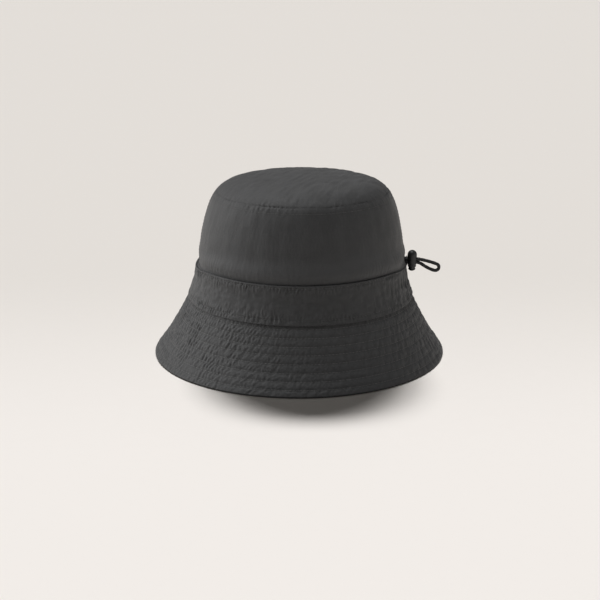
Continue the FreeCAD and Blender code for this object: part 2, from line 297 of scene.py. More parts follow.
def metal_material(name, dark, light, roughness, grain_scale):
    """Metal with drawn or plated grain and small wear marks."""
    material, tree, shader = new_material(name, light, roughness, 0.5, metallic=0.9)
    place = object_place(tree)
    grain = noise(tree, stretched(tree, place, grain_scale), 1.0, 3.0)
    wear = noise(tree, place, 400.0, 4.0, 0.7)
    rough = weighted_sum(tree, roughness - 0.1, (grain, 0.25))
    connect(tree, shader, colour_between(tree, wear, dark, light), bump(tree, grain, 0.2, 0.00004), rough)
    return material


def nonwoven_material():
    """Pressed fibres of the stiff layer inside the brim."""
    material, tree, shader = new_material("interlining_nonwoven", (0.6, 0.6, 0.57), 0.9, 0.2)
    fibre = noise(tree, object_place(tree), 900.0, 6.0, 0.75)
    colour = colour_between(tree, fibre, (0.45, 0.45, 0.42), (0.7, 0.7, 0.67))
    connect(tree, shader, colour, bump(tree, fibre, 0.5, 0.0002))
    return material


# ---------------------------------------------------------------- round cloth surfaces

def once_round(count):
    """Even angles once round, in radians."""
    return np.arange(count) / count * 2 * math.pi


def halves(columns):
    """The halves of a ring with this many columns, each from one centre seam to the other."""
    for side, start in (("left", -math.pi / 2), ("right", math.pi / 2)):
        yield side, np.linspace(start, start + math.pi, columns // 2 + 1)


def run_of(points):
    """The distance along a line of points, from its first."""
    return np.concatenate([[0.0], np.cumsum(np.linalg.norm(np.diff(points, axis=0), axis=1))])


def unit(vectors):
    return vectors / np.linalg.norm(vectors, axis=-1, keepdims=True)


def curve_points(outline):
    """Many points along the smooth curve through an outline, as an array of (radius, height)."""
    points = [list(p) for p in outline]
    ends_on_axis = outline[-1][0] == 0.0
    if ends_on_axis:
        points += [[-r, z] for r, z in reversed(outline[-4:-1])]
    p = np.array(points, float)
    knots = run_of(p)
    gaps = np.diff(knots)
    count = len(p)
    system = np.zeros((count, count))
    right = np.zeros((count, 2))
    system[0, 0] = 1.0
    system[-1, -1] = 1.0
    for i in range(1, count - 1):
        system[i, i - 1:i + 2] = gaps[i - 1], 2 * (gaps[i - 1] + gaps[i]), gaps[i]
        right[i] = 6 * ((p[i + 1] - p[i]) / gaps[i] - (p[i] - p[i - 1]) / gaps[i - 1])
    bend = np.linalg.solve(system, right)
    fine = np.linspace(0.0, knots[-1], 4000)
    k = np.clip(np.searchsorted(knots, fine) - 1, 0, count - 2)
    gap = gaps[k][:, None]
    before = (knots[k + 1] - fine)[:, None]
    after = (fine - knots[k])[:, None]
    curve = (bend[k] * before ** 3 + bend[k + 1] * after ** 3) / (6 * gap)
    curve += (p[k] / gap - bend[k] * gap / 6) * before
    curve += (p[k + 1] / gap - bend[k + 1] * gap / 6) * after
    return curve[curve[:, 0] >= 0.0] if ends_on_axis else curve


def profile(outline, low, high, step):
    """Even points of an outline between two heights: radius, height, outward normal and run, the
    distance along the curve from the lower end."""
    curve = curve_points(outline)
    inside = (curve[:, 1] >= low) & (curve[:, 1] <= high)
    curve = curve[inside]
    run = run_of(curve)
    count = max(int(round(run[-1] / step)), 4) + 1
    even = np.linspace(0.0, run[-1], count)
    radius = np.interp(even, run, curve[:, 0])
    height = np.interp(even, run, curve[:, 1])
    slope = unit(np.stack([np.gradient(radius, even), np.gradient(height, even)], axis=1))
    return {
        "r": radius, "z": height, "nr": slope[:, 1], "nz": -slope[:, 0], "run": even, "rest": np.zeros(count),
    }


def turned_edge(shape, depth, tall, at_start, reach=180.0, steps=9):
    """Adds a rolled fold to one end of a profile, curling in and under. It reaches `tall` past the end
    and comes back twice `depth` under it. Its points carry rest from 0 to 1, so relief can fade out."""
    end = 0 if at_start else -1
    sign = -1.0 if at_start else 1.0
    normal = np.array([shape["nr"][end], shape["nz"][end]])
    tangent = sign * np.array([-normal[1], normal[0]])
    centre = np.array([shape["r"][end], shape["z"][end]]) - depth * normal
    angles = np.radians(np.linspace(0, reach, steps + 1))[1:]
    cosine, sine = np.cos(angles)[:, None], np.sin(angles)[:, None]
    points = centre + depth * cosine * normal + tall * sine * tangent
    outward = unit(cosine / depth * normal + sine / tall * tangent)
    run = shape["run"][end] + sign * (depth + tall) / 2 * angles
    extra = {
        "r": points[:, 0], "z": points[:, 1], "nr": outward[:, 0], "nz": outward[:, 1],
        "run": run, "rest": np.clip(angles / math.radians(90), 0, 1),
    }
    if at_start:
        return {key: np.concatenate([extra[key][::-1], shape[key]]) for key in shape}
    return {key: np.concatenate([shape[key], extra[key]]) for key in shape}


def on_oval(radius, height, angle):
    """Positions in metres on the hat's leaning oval."""
    x = SIDE_RATIO * radius * np.cos(angle)
    y = radius * np.sin(angle) + LEAN * height
    return np.stack([x, y, height + 0 * x], axis=-1) * MM


def turned(shape, angles, lift, drawn=(0.0, 0.0)):
    """Positions in metres of a profile turned to each angle and moved out by lift (rows x columns),
    never below the floor. drawn is a further change of (radius, height), also rows x columns."""
    radius = shape["r"][:, None] + lift * shape["nr"][:, None] + drawn[0]
    height = np.maximum(shape["z"][:, None] + lift * shape["nz"][:, None] + drawn[1], 0.0)
    return on_oval(radius, height, angles[None, :])


def normals_of(shape, angles):
    """Outward unit normals of the plain turned profile."""
    nr, nz = shape["nr"][:, None], shape["nz"][:, None]
    x = nr * np.cos(angles)[None, :] / SIDE_RATIO
    y = nr * np.sin(angles)[None, :]
    return unit(np.stack([x, y, nz + 0 * x], axis=2))


def make_object(name, points, faces, material, uv=None, relief=None, sharp=50.0):
    """A mesh object. uv has one pair for each face corner, relief one value for each point."""
    faces = np.asarray(faces, np.int32)
    sides = faces.shape[1]
    mesh = bpy.data.meshes.new(name)
    mesh.vertices.add(len(points))
    mesh.vertices.foreach_set("co", np.asarray(points, np.float32).ravel())
    mesh.loops.add(faces.size)
    mesh.loops.foreach_set("vertex_index", faces.ravel())
    mesh.polygons.add(len(faces))
    mesh.polygons.foreach_set("loop_start", np.arange(0, faces.size, sides, dtype=np.int32))
    if uv is not None:
        layer = mesh.uv_layers.new(name="Cloth")
        layer.data.foreach_set("uv", np.asarray(uv, np.float32).ravel())
    if relief is not None:
        attribute = mesh.attributes.new("relief", "FLOAT", "POINT")
        attribute.data.foreach_set("value", np.asarray(relief, np.float32).ravel())
    mesh.update(calc_edges=True)
    mesh.validate()
    mesh.shade_smooth()
    mesh.set_sharp_from_angle(angle=math.radians(sharp))
    mesh.materials.append(material)
    made = bpy.data.objects.new(name, mesh)
    bpy.context.scene.collection.objects.link(made)
    return made


def grid_faces(rows, columns, closed, offset, flip):
    """Quads of a grid, with each corner's (row, column) kept for the UV map."""
    i = np.arange(rows - 1)[:, None]
    j = np.arange(columns if closed else columns - 1)[None, :]
    i, j = (i + 0 * j).ravel(), (j + 0 * i).ravel()
    corners = [(i, j), (i, j + 1), (i + 1, j + 1), (i + 1, j)]
    if flip:
        corners.reverse()
    faces = np.stack([offset + r * columns + c % columns for r, c in corners], axis=1)
    return faces, np.stack([r for r, c in corners], axis=1), np.stack([c for r, c in corners], axis=1)


def shell(name, outer, inner, material, closed, uv_round, uv_up, relief):
    """A piece of cloth between an outer and an inner grid of points, walled in at its edges. A closed
    grid runs round the hat without a seam. uv_round has one value for each column (and, if it's
    closed, the one past the last)."""
    rows, columns = outer.shape[:2]
    size = rows * columns
    points = np.concatenate([outer.reshape(-1, 3), inner.reshape(-1, 3)])
    parts = [grid_faces(rows, columns, closed, 0, False), grid_faces(rows, columns, closed, size, True)]

    def wall(r, c, flip):
        """Quads that join the two grids along a line of their points."""
        r, c = (np.stack([k[:-1], k[1:], k[1:], k[:-1]], axis=1) for k in (r, c))
        quads = r * columns + c % columns + np.array([0, 0, size, size])
        step = -1 if flip else 1
        parts.append([k[:, ::step] for k in (quads, r, c)])

    up = np.arange(rows)
    across = np.arange(columns + 1 if closed else columns)
    wall(0 * across, across, True)
    wall(0 * across + rows - 1, across, False)
    if not closed:
        wall(up, 0 * up, False)
        wall(up, 0 * up + columns - 1, True)
    faces, row_of, column_of = (np.concatenate(part) for part in zip(*parts))
    uv = np.stack([uv_round[column_of], uv_up[row_of]], axis=2)
    return make_object(name, points, faces, material, uv, np.tile(relief.ravel(), 2))


def on_hat(made, replaced=None):
    """Fixes a piece to the hat and lets it stand for a CAD node."""
    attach(made, "hat")
    if replaced:
        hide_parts(replaced)


def ring_cloth(stands_for, material, shape, angles, outward, inward, relief, uv_radius,
               drawn=(0.0, 0.0), closed=False):
    """A piece of cloth on a turned profile, between two lifts, that stands for a CAD node. Returns its
    outward and inward grids of points."""
    grids = [turned(shape, angles, lift, drawn) for lift in (outward, inward)]
    uv_round = np.append(angles, 2 * math.pi) if closed else angles
    made = shell(f"{stands_for}_cloth", *grids, material, closed, uv_round * uv_radius * MM,
                 shape["run"] * MM, 0.5 + relief)
    on_hat(made, stands_for)
    return grids


# ---------------------------------------------------------------- relief

def ring_noise(rows, columns, row_step, column_step, first_seed):
    """A function that makes a new random relief on a ring of cloth at each call."""
    seeds = itertools.count(first_seed)
    tall = 2 * rows
    up_rate = np.fft.fftfreq(tall, row_step)[:, None]
    round_rate = np.abs(np.fft.fftfreq(columns, column_step))[None, :]

    def field(along, up, spread=0.4):
        """Relief of about 1: ridges `along` apart round the ring that run for about `up`. With
        along = 0 it's soft bumps of size `up`."""
        white = np.random.default_rng(next(seeds)).standard_normal((tall, columns))
        if along:
            off = (round_rate * along - 1) / spread
        else:
            off = round_rate * up
        keep = np.exp(-0.5 * (off ** 2 + (up_rate * up) ** 2))
        made = np.fft.ifft2(np.fft.fft2(white) * keep).real[:rows]
        return 1.6 * np.tanh(made / made.std() / 1.4)

    return field


def slanted(field, shift):
    """field with each row moved round the ring by shift cells (one value for each row and column)."""
    rows, columns = field.shape
    place = np.arange(columns)
    out = np.empty_like(field)
    for i in range(rows):
        out[i] = np.interp(place + shift[i], place, field[i], period=columns)
    return out


def creases(field, width):
    """Sharp-edged folds where a smooth field passes zero: 0 on flat cloth, 1 on a fold's crest."""
    return np.exp(-np.abs(field) / width)


def near(distance, width):
    """1 at a place, falling to nothing at about twice this width from it."""
    return np.exp(-(distance / width) ** 2)


def from_back(angle):
    """The angle from the centre back, in radians, 0 to pi."""
    return np.abs((angle - math.pi / 2 + math.pi) % (2 * math.pi) - math.pi)


def from_seams(angle, radius):
    """The distance along the cloth from the nearer of the front and back centre seams."""
    back = from_back(angle)
    return np.minimum(back, math.pi - back) * radius


def ring_part(field, angles):
    """The columns of a full ring's field under the given angles."""
    total = field.shape[1]
    return field[:, np.round((angles % (2 * math.pi)) / (2 * math.pi) * total).astype(int) % total]


def ease(value, low, high):
    """A smooth step from 0 at low to 1 at high."""
    t = np.clip((value - low) / (high - low), 0.0, 1.0)
    return t * t * (3 - 2 * t)


# ---------------------------------------------------------------- sewing

def along_line(values, run, where):
    """A line's values, three for each point, at distances along it."""
    return np.stack([np.interp(where, run, values[:, k]) for k in range(3)], axis=1)


def ring_about(first, second, angles):
    """Offsets of a ring of points about each point of a line, in the plane of two directions."""
    return np.cos(angles)[None, :, None] * first[:, None] + np.sin(angles)[None, :, None] * second[:, None]


STITCH_SINK = 0.12


def stitched(lines, radius, stitch, gap):
    """Points and quads of sewing stitches along lines. Each line is (points, normals), in metres.
    Every stitch rises out of one needle hole and dips into the next."""
    sides, rings = 6, 6
    t = np.linspace(0.0, 1.0, rings)
    rise = np.sin(t * math.pi) ** 0.5
    all_points, all_faces, offset = [], [], 0
    last = (rings - 1) * sides
    caps = []
    for s in range(0, sides - 2, 2):
        caps.append([0, s + 3, s + 2, s + 1])
        caps.append([last, last + s + 1, last + s + 2, last + s + 3])
    cell = np.vstack([grid_faces(rings, sides, True, 0, False)[0], caps])
    for points, normals in lines:
        run = run_of(points)
        count = int(run[-1] / ((stitch + gap) * MM))
        pitch = run[-1] / count
        share = stitch / (stitch + gap)
        start = (np.arange(count) + 0.5 * (1 - share)) * pitch
        where = (start[:, None] + share * pitch * t[None, :]).ravel()
        place = along_line(points, run, where)
        normal = unit(along_line(normals, run, where))
        tangent = along_line(points, run, where + 0.2 * MM) - place
        flat = np.linalg.norm(tangent, axis=1) < 1e-9
        tangent[flat] = np.roll(tangent, 1, axis=0)[flat]
        tangent = unit(tangent)
        side = np.cross(tangent, normal)
        up = np.tile(rise, count)[:, None]
        centre = place + normal * (up * (radius * 0.9 + STITCH_SINK) - STITCH_SINK) * MM
        thick = (radius * (0.55 + 0.45 * up)) * MM
        body = centre[:, None] + thick[:, :, None] * ring_about(normal, side, once_round(sides))
        all_points.append(body.reshape(-1, 3))
        block = rings * sides
        all_faces.append((cell[None] + offset + block * np.arange(count)[:, None, None]).reshape(-1, 4))
        offset += block * count
    return np.concatenate(all_points), np.concatenate(all_faces)


def sew(name, lines, material, radius=0.17):
    """A piece of stitching, 2.3 mm long stitches with 0.6 mm between them."""
    points, faces = stitched(lines, radius, 2.3, 0.6)
    on_hat(make_object(name, points, faces, material, sharp=80.0))


def row_at(shape, run):
    """The fractional row of a profile at a distance along it."""
    return float(np.interp(run, shape["run"], np.arange(len(shape["run"]))))


def line_at(shape, grid, normals, run, closed=True):
    """The line round a grid at a distance along its profile: (points, normals)."""
    row = row_at(shape, run)
    low = int(row)
    part = row - low
    line = [rows[low] * (1 - part) + rows[low + 1] * part for rows in (grid, normals)]
    return tuple(np.vstack([values, values[:1]]) if closed else values for values in line)


# ---------------------------------------------------------------- brim

BRIM_COLUMNS = 1120
BRIM_ANGLES = once_round(BRIM_COLUMNS)
BRIM_UV_RADIUS = 113.0
BRIM_STEP = 0.7
EDGE_START = 1.45      # height where the top cloth starts to turn under
EDGE_FOLD = 1.15       # how deep the turned edge goes in
EDGE_ROUND = 0.8       # and how far it reaches down
UNDER_STEP = 0.95
UNDER_START = 2.0      # height of the under layer's edge
UNDER_EDGE_RUN = -1.5  # where the rows of stitching have the edge on the under layer
UNDER_DEPTH = 2.3      # the under layer's face below the brim's outline
UNDER_SHARE = 0.8      # its relief, as a share of the top cloth's


def brim_relief(shape, seam_run, edge_run, seed):
    """Quilting: rows of stitching pull the cloth down, and it puckers between them. The puckers are
    small and even over the front and slant into longer creases towards the back."""
    noise_field = ring_noise(len(shape["run"]), BRIM_COLUMNS, 0.69, 0.62, seed)
    along = shape["run"][:, None]
    share = (seam_run - along) / (seam_run - edge_run)
    rows_at = seam_run + (edge_run - seam_run) * np.array(BRIM_ROWS)
    distance = np.abs(along - rows_at[None, :]).min(axis=1)[:, None]
    between_rows = 1 - near(distance, 1.5)
    angle = BRIM_ANGLES[None, :]
    turn = from_back(angle)
    back = 0.5 + 0.5 * np.sin(angle + 0.25)
    calm = near(turn - 1.45, 0.55)
    slant = (back * 26.0 * np.sin(1.7 * angle + 0.6) + 55.0 * near(turn - 1.95, 0.35)) * (share - 0.5)
    fine = slanted(noise_field(4.0, 6.0, 0.35), slant * 0.6)
    mixed = slanted(noise_field(4.4, 5.5, 0.6), slant)
    long = slanted(noise_field(8.0, 18.0, 0.5), slant * 1.6)
    soft = noise_field(0, 14.0)
    patch = noise_field(0, 26.0)
    crumple = noise_field(0, 2.6)
    even = np.clip(0.95 - 0.75 * back + 0.15 * patch, 0.15, 1.0)
    strength = np.clip(1.0 + 0.18 * patch, 0.7, 1.4) * (1 - 0.45 * calm)
    strength = strength * (0.72 + 0.8 * ease(turn, 2.0, 2.7))
    puckers = (0.30 * even * fine + 0.26 * (1.1 - even) * mixed) * strength + 0.13 * crumple
    edge_fade = 1 - 0.5 * ease(share, 0.93, 1.0)
    lift = 0.40 * (between_rows - 0.6) + puckers * (0.45 + 0.55 * between_rows)
    lift = lift + 0.20 * long * (0.25 + 0.75 * back) * (1 - 0.5 * calm) + 0.06 * soft
    lift = lift * edge_fade - 0.45 * near(from_seams(angle, BRIM_UV_RADIUS), 1.0)
    lift = np.tanh(lift * (1 - shape["rest"][:, None]) / 0.75)
    return 0.75 * lift - 0.38 * near(share, 0.028) * (1 + 0.6 * lift)


def brim_spread():
    """The quilted layers' own thickness carries the top cloth out a little, most at the edge. It is
    back in place where the edge has turned under."""
    run = brim_shape["run"][:, None]
    share = 1 - run / BRIM_SEAM_RUN
    return 0.6 * ease(share, 0.0, 0.15) + 1.0 * ease(share, 0.35, 1.0) - 1.5 * ease(-run, 0.9, 2.9), 0.0


brim_shape = profile(BRIM_OUTLINE, EDGE_START, BRIM_TOP_Z, BRIM_STEP)
brim_shape = turned_edge(brim_shape, EDGE_FOLD, EDGE_ROUND, at_start=True)
BRIM_SEAM_RUN = float(np.interp(BAND_LOW_Z, brim_shape["z"][10:], brim_shape["run"][10:]))
brim_lift = brim_relief(brim_shape, BRIM_SEAM_RUN, 0.0, 11)
BRIM_SPREAD = brim_spread()
under_shape = profile(BRIM_OUTLINE, UNDER_START, BRIM_TOP_Z, UNDER_STEP)
UNDER_SEAM_RUN = float(np.interp(BAND_LOW_Z, under_shape["z"], under_shape["run"]))
under_lift = UNDER_SHARE * brim_relief(under_shape, UNDER_SEAM_RUN, UNDER_EDGE_RUN, 31)


def make_brim():
    for side, angles in halves(BRIM_COLUMNS):
        lift = ring_part(brim_lift, angles)
        ring_cloth(f"brim_top_{side}", shell_fabric, brim_shape, angles, lift,
                   np.minimum(lift * 0.3, 0.0) - FABRIC, lift, BRIM_UV_RADIUS, BRIM_SPREAD)
        lift = ring_part(under_lift, angles)
        ring_cloth(f"brim_under_{side}", under_fabric, under_shape, angles,
                   FABRIC - UNDER_DEPTH + 0 * lift, -UNDER_DEPTH - lift, lift, BRIM_UV_RADIUS)


def sew_brim():
    """Eight rows of quilting through all the layers: top thread above and bobbin thread below."""
    grid = turned(brim_shape, BRIM_ANGLES, brim_lift, BRIM_SPREAD)
    normals = normals_of(brim_shape, BRIM_ANGLES)
    under = turned(under_shape, BRIM_ANGLES, -UNDER_DEPTH - under_lift)
    under_normals = -normals_of(under_shape, BRIM_ANGLES)
    lines, under_lines = [], []
    for share in BRIM_ROWS:
        lines.append(line_at(brim_shape, grid, normals, BRIM_SEAM_RUN * (1 - share)))
        under_run = UNDER_SEAM_RUN + (UNDER_EDGE_RUN - UNDER_SEAM_RUN) * share
        under_lines.append(line_at(under_shape, under, under_normals, under_run))
    sew("brim_quilting_stitches", lines, row_thread)
    sew("brim_bobbin_stitches", under_lines, inner_thread)


make_brim()
sew_brim()


# ---------------------------------------------------------------- band

BAND_STEP = 0.62
BAND_COLUMNS = 900
BAND_ANGLES = once_round(BAND_COLUMNS)
BAND_UV_RADIUS = 93.0
BAND_FOLD = 0.85      # depth of the turned top edge
BAND_HEM = 0.5        # depth of the turned lower edge
EYELET_RADIUS = 92.0  # of the band's oval at the eyelet
band_shape = profile(BAND_OUTLINE, BAND_LOW_Z + 0.3, BAND_TOP_Z - 0.9, BAND_STEP)
BAND_FLAT = float(band_shape["run"][-1])
TOP_STITCH = BAND_FLAT - 1.9
LOW_STITCH = 4.2
band_shape = turned_edge(band_shape, BAND_FOLD, 0.6, at_start=False, reach=200.0, steps=12)
band_shape = turned_edge(band_shape, BAND_HEM, 0.3, at_start=True, reach=170.0, steps=6)


def seam_drop(angle):
    """How far the band's top edge hangs below its CAD height: more at the front and back, where the
    hat's oval is pulled long, than at the sides."""
    return 2.0 + 4.6 * np.abs(np.sin(angle)) ** 10


def band_seam_z(angle):
    """Height of the band's top edge."""
    return BAND_TOP_Z - seam_drop(angle)


def band_drawn():
    """The change of radius and height that brings the band's rows down its own outline."""
    flat = band_shape["rest"] == 0
    heights, radii = band_shape["z"][flat], band_shape["r"][flat]
    share = np.clip(band_shape["run"] / BAND_FLAT, 0.0, 1.0)[:, None]
    down = -seam_drop(BAND_ANGLES)[None, :] * share
    own = np.clip(band_shape["z"], heights[0], heights[-1])[:, None]
    return np.interp(own + down, heights, radii) - np.interp(own, heights, radii), down


def band_relief():
    """Gathers: fine puckers that die away from each row of topstitching, a few soft crumples between
    them, and deeper folds at the back, where the drawcord draws the band in."""
    noise_field = ring_noise(len(band_shape["run"]), BAND_COLUMNS, BAND_STEP, 0.65, 51)
    run = band_shape["run"][:, None]
    angle = BAND_ANGLES[None, :]
    back = near(from_back(angle), 0.55)
    fine = noise_field(3.1, 8.0, 0.35)
    folds = noise_field(8.0, 30.0, 0.45)
    soft = noise_field(0, 9.0)
    bold = noise_field(0, 30.0)
    crease = creases(noise_field(14.0, 14.0, 0.8), 0.12)
    rows_of_stitch = near(run - TOP_STITCH, 0.8) + near(run - LOW_STITCH, 0.8)
    by_top = near(run - TOP_STITCH, 5.0)
    by_low = near(run - LOW_STITCH, 5.5)
    amount = np.clip(1.0 + 0.5 * bold, 0.3, 2.0)
    lift = 0.17 * fine * (1.1 * by_top + 1.0 * by_low + 0.10) * amount
    lift = lift + folds * (0.05 + 0.42 * back) * (0.6 + 0.4 * by_low)
    lift = lift + 0.18 * soft - 0.25 * rows_of_stitch + 0.16 * crease * amount
    lift = lift + back * (0.5 * folds - 0.9) * near(run - 0.55 * BAND_FLAT, 3.0)
    flat = np.clip(ease(run, 0.0, 1.0) - ease(run, BAND_FLAT - 1.2, BAND_FLAT), 0.0, 1.0)
    lift = lift * flat + 0.06 * fine * (1 - flat)
    eyelet = np.hypot(from_back(angle) * EYELET_RADIUS, band_shape["z"][:, None] - CORD_Z)
    return lift * (1 - near(eyelet, 6.0))


def make_band():
    lift = band_relief()
    outer, _ = ring_cloth("channel_band", shell_fabric, band_shape, BAND_ANGLES, lift,
                          0.5 * lift - 0.45, lift, BAND_UV_RADIUS, band_drawn(), closed=True)
    normals = normals_of(band_shape, BAND_ANGLES)
    lines = [line_at(band_shape, outer, normals, run) for run in (TOP_STITCH, LOW_STITCH)]
    sew("band_stitches", lines, tonal_thread)


make_band()


# ---------------------------------------------------------------- crown

CROWN_STEP = 0.8
CROWN_COLUMNS = 720
CROWN_ANGLES = once_round(CROWN_COLUMNS)
CROWN_UV_RADIUS = 84.0
CROWN_SEAM_RADIUS = 85.0
TIP_STITCH = 5.6
crown_shape = profile(CROWN_OUTLINE, CROWN_LOW_Z, SEAM_Z, CROWN_STEP)
CROWN_RUN = float(crown_shape["run"][-1])

# Puckers on a strip along the tip's seam, 30 mm to each side of it
SEAM_ROWS = 120
SEAM_STEP = 0.5
seam_field = ring_noise(SEAM_ROWS, CROWN_COLUMNS, SEAM_STEP, 0.64, 71)
seam_fine = seam_field(3.4, 7.0, 0.35)
seam_mixed = seam_field(6.5, 12.0, 0.5)
seam_patch = seam_field(0, 20.0)


def sample(field, i, j):
    """A grid field's values at fractional places: clipped between the rows, round over the columns."""
    rows, columns = field.shape
    i = np.clip(i, 0, rows - 1.001)
    i0, j0 = np.floor(i).astype(int), np.floor(j).astype(int)
    fi, fj = i - i0, j - j0
    j0, j1 = j0 % columns, (j0 + 1) % columns
    top = field[i0, j0] * (1 - fj) + field[i0, j1] * fj
    bottom = field[i0 + 1, j0] * (1 - fj) + field[i0 + 1, j1] * fj
    return top * (1 - fi) + bottom * fi


def ring_sample(field, angle, distance):
    """A seam field's value at an angle and a signed distance from the seam, in millimetres."""
    rows, columns = field.shape
    return sample(field, distance / SEAM_STEP + rows / 2, angle % (2 * math.pi) / (2 * math.pi) * columns)


def seam_relief(angle, distance):
    """Puckers on both sides of the tip's seam. distance is positive on the tip and negative on the sides."""
    fine = ring_sample(seam_fine, angle, distance)
    mixed = ring_sample(seam_mixed, angle, distance)
    patch = np.clip(1.0 + 0.5 * ring_sample(seam_patch, angle, distance), 0.3, 2.0)
    lift = 0.11 * fine * near(distance, 3.0) + 0.09 * mixed * near(distance, 7.0)
    pulled = np.clip(0.5 + 0.5 * fine, 0.0, 1.3) * patch
    return lift * patch - 0.60 * pulled * near(distance, 0.8) - 0.07 * near(distance + TIP_STITCH, 0.9)


def crown_flare(angle, height):
    """Brings the crown out to meet the band's top edge: nearly flush round the back and sides, with a
    small step at the front, and level with the eyelet's flange."""
    front = near(math.pi - from_back(angle), 0.7)
    back = near(from_back(angle), 0.7)
    seam = band_seam_z(angle)
    curve = curve_points(BAND_OUTLINE)
    edge = np.interp(seam, curve[:, 1], curve[:, 0])
    own = np.interp(seam, crown_shape["z"], crown_shape["r"])
    reach = 24.0 - 10.0 * front - 4.0 * back
    rise = (edge - own - 2.0 + 0.1 * front + 1.1 * back) * (1 - ease(height - seam, -6.0, reach)) / 0.9
    eyelet = np.hypot(from_back(angle) * EYELET_RADIUS, height - CORD_Z)
    rise = np.maximum(rise, 4.2 * near(eyelet, 7.5))
    return rise * ease(height, 67.0, 77.0)


def crown_relief():
    """Faint upright and slanting wrinkles in the sides, puckers along the tip's seam and small ones
    where the cloth goes down behind the band."""
    column_step = 0.75
    noise_field = ring_noise(len(crown_shape["run"]), CROWN_COLUMNS, CROWN_STEP, column_step, 61)
    run = crown_shape["run"][:, None]
    height = crown_shape["z"][:, None]
    angle = CROWN_ANGLES[None, :]
    soft = noise_field(0, 22.0)
    upright = noise_field(16.0, 60.0, 0.6)
    lean = (run - run.mean()) * (0.55 * np.sin(2 * angle + 0.8)) / column_step
    fold = creases(slanted(noise_field(30.0, 45.0, 0.9), lean), 0.07)
    small = noise_field(4.5, 12.0, 0.5)
    patch = np.clip(noise_field(0, 26.0), -1.2, 1.6)
    lift = 0.10 * soft + 0.05 * upright + 0.10 * fold * np.clip(0.6 + patch, 0, 2)
    lift = lift + 0.06 * small * near(height - 88.0, 6.0) * (0.7 + 0.3 * patch)
    lift = lift + 0.025 * small
    lift = lift + seam_relief(angle + 0 * run, run - CROWN_RUN + 0 * angle)
    seams = from_seams(angle, CROWN_SEAM_RADIUS)
    lift = lift - 0.5 * near(seams, 0.8) + 0.12 * near(seams - 2.6, 1.5)
    seam = band_seam_z(angle)
    return lift * ease(height - seam, 0.5, 4.0) + crown_flare(angle, height)


def make_crown_sides():
    first = int(row_at(crown_shape, np.interp(BAND_TOP_Z - 1, crown_shape["z"], crown_shape["run"])))
    last = int(row_at(crown_shape, CROWN_RUN - 0.8))
    crown_lift = crown_relief()
    lines = []
    for side, angles in halves(CROWN_COLUMNS):
        lift = ring_part(crown_lift, angles)
        outer, _ = ring_cloth(f"crown_side_{side}", shell_fabric, crown_shape, angles,
                              lift, lift * 0.8 - FABRIC, lift, CROWN_UV_RADIUS)
        normals = normals_of(crown_shape, angles)
        lines.append(line_at(crown_shape, outer, normals, CROWN_RUN - TIP_STITCH, closed=False))
        for column in (3, len(angles) - 4):
            lines.append((outer[first:last, column], normals[first:last, column]))
    sew("crown_stitches", lines, tonal_thread, radius=0.15)


make_crown_sides()


FLAT_SIZE = 256
FLAT_STEP = 0.7


def flat_relief(x, y, wave, seed, stretch=1.0, turn=0.0, crease=None):
    """Soft random relief of about 1 at places on a flat cloth, longer along one direction if stretch
    is over 1. With a crease width it's sharp-edged folds instead."""
    white = np.random.default_rng(seed).standard_normal((FLAT_SIZE, FLAT_SIZE))
    u = np.fft.fftfreq(FLAT_SIZE, FLAT_STEP)[:, None]
    v = u.T
    across = u * math.cos(turn) + v * math.sin(turn)
    along = -u * math.sin(turn) + v * math.cos(turn)
    keep = np.exp(-0.5 * ((across * wave) ** 2 + (along * wave * stretch) ** 2))
    field = np.fft.ifft2(np.fft.fft2(white) * keep).real
    field = field / field.std()
    if crease:
        field = creases(field, crease)
    return sample(field, x / FLAT_STEP + FLAT_SIZE / 2, y / FLAT_STEP + FLAT_SIZE / 2)


def disc_grid(count):
    """A square grid of (share of the radius, angle) pairs that covers a disc with no pole."""
    u, v = np.meshgrid(np.linspace(-1, 1, count), np.linspace(-1, 1, count), indexing="ij")
    wide = np.abs(u) > np.abs(v)
    with np.errstate(divide="ignore", invalid="ignore"):
        by_u = math.pi / 4 * np.nan_to_num(v / u)
        by_v = math.pi / 2 - math.pi / 4 * np.nan_to_num(u / v)
    radius = np.where(wide, u, v)
    angle = np.where(wide, by_u, by_v)
    angle = np.where(radius < 0, angle + math.pi, angle)
    return np.abs(radius), angle


def domed(shape, share, angle, lift):
    """Positions in metres on a domed profile at a share of its run from the axis."""
    back = shape["run"][-1] * (1 - share)
    radius, height, nr, nz = (np.interp(back, shape["run"], shape[key]) for key in ("r", "z", "nr", "nz"))
    return on_oval(radius + lift * nr, height + lift * nz, angle)


def flat_places(shape, share, angle):
    """The places on a flattened dome, and their distance from its edge."""
    total = shape["run"][-1]
    return share * total * np.cos(angle), share * total * np.sin(angle), total * (1 - share)


def disc_cloth(stands_for, material, shape, share, angle, outward, inward, relief):
    """A piece of cloth on a domed profile, between two lifts, that stands for a CAD node."""
    grids = [domed(shape, share, angle, lift) for lift in (outward, inward)]
    blank = np.zeros(len(share))
    made = shell(f"{stands_for}_cloth", *grids, material, False, blank, blank, 0.5 + relief)
    x, y, _ = flat_places(shape, share, angle)
    flat = np.tile(np.stack([y.ravel(), x.ravel()], axis=1) * MM, (2, 1))
    corner = np.zeros(len(made.data.loops), np.int32)
    made.data.loops.foreach_get("vertex_index", corner)
    made.data.uv_layers["Cloth"].data.foreach_set("uv", flat[corner].astype(np.float32).ravel())
    on_hat(made, stands_for)


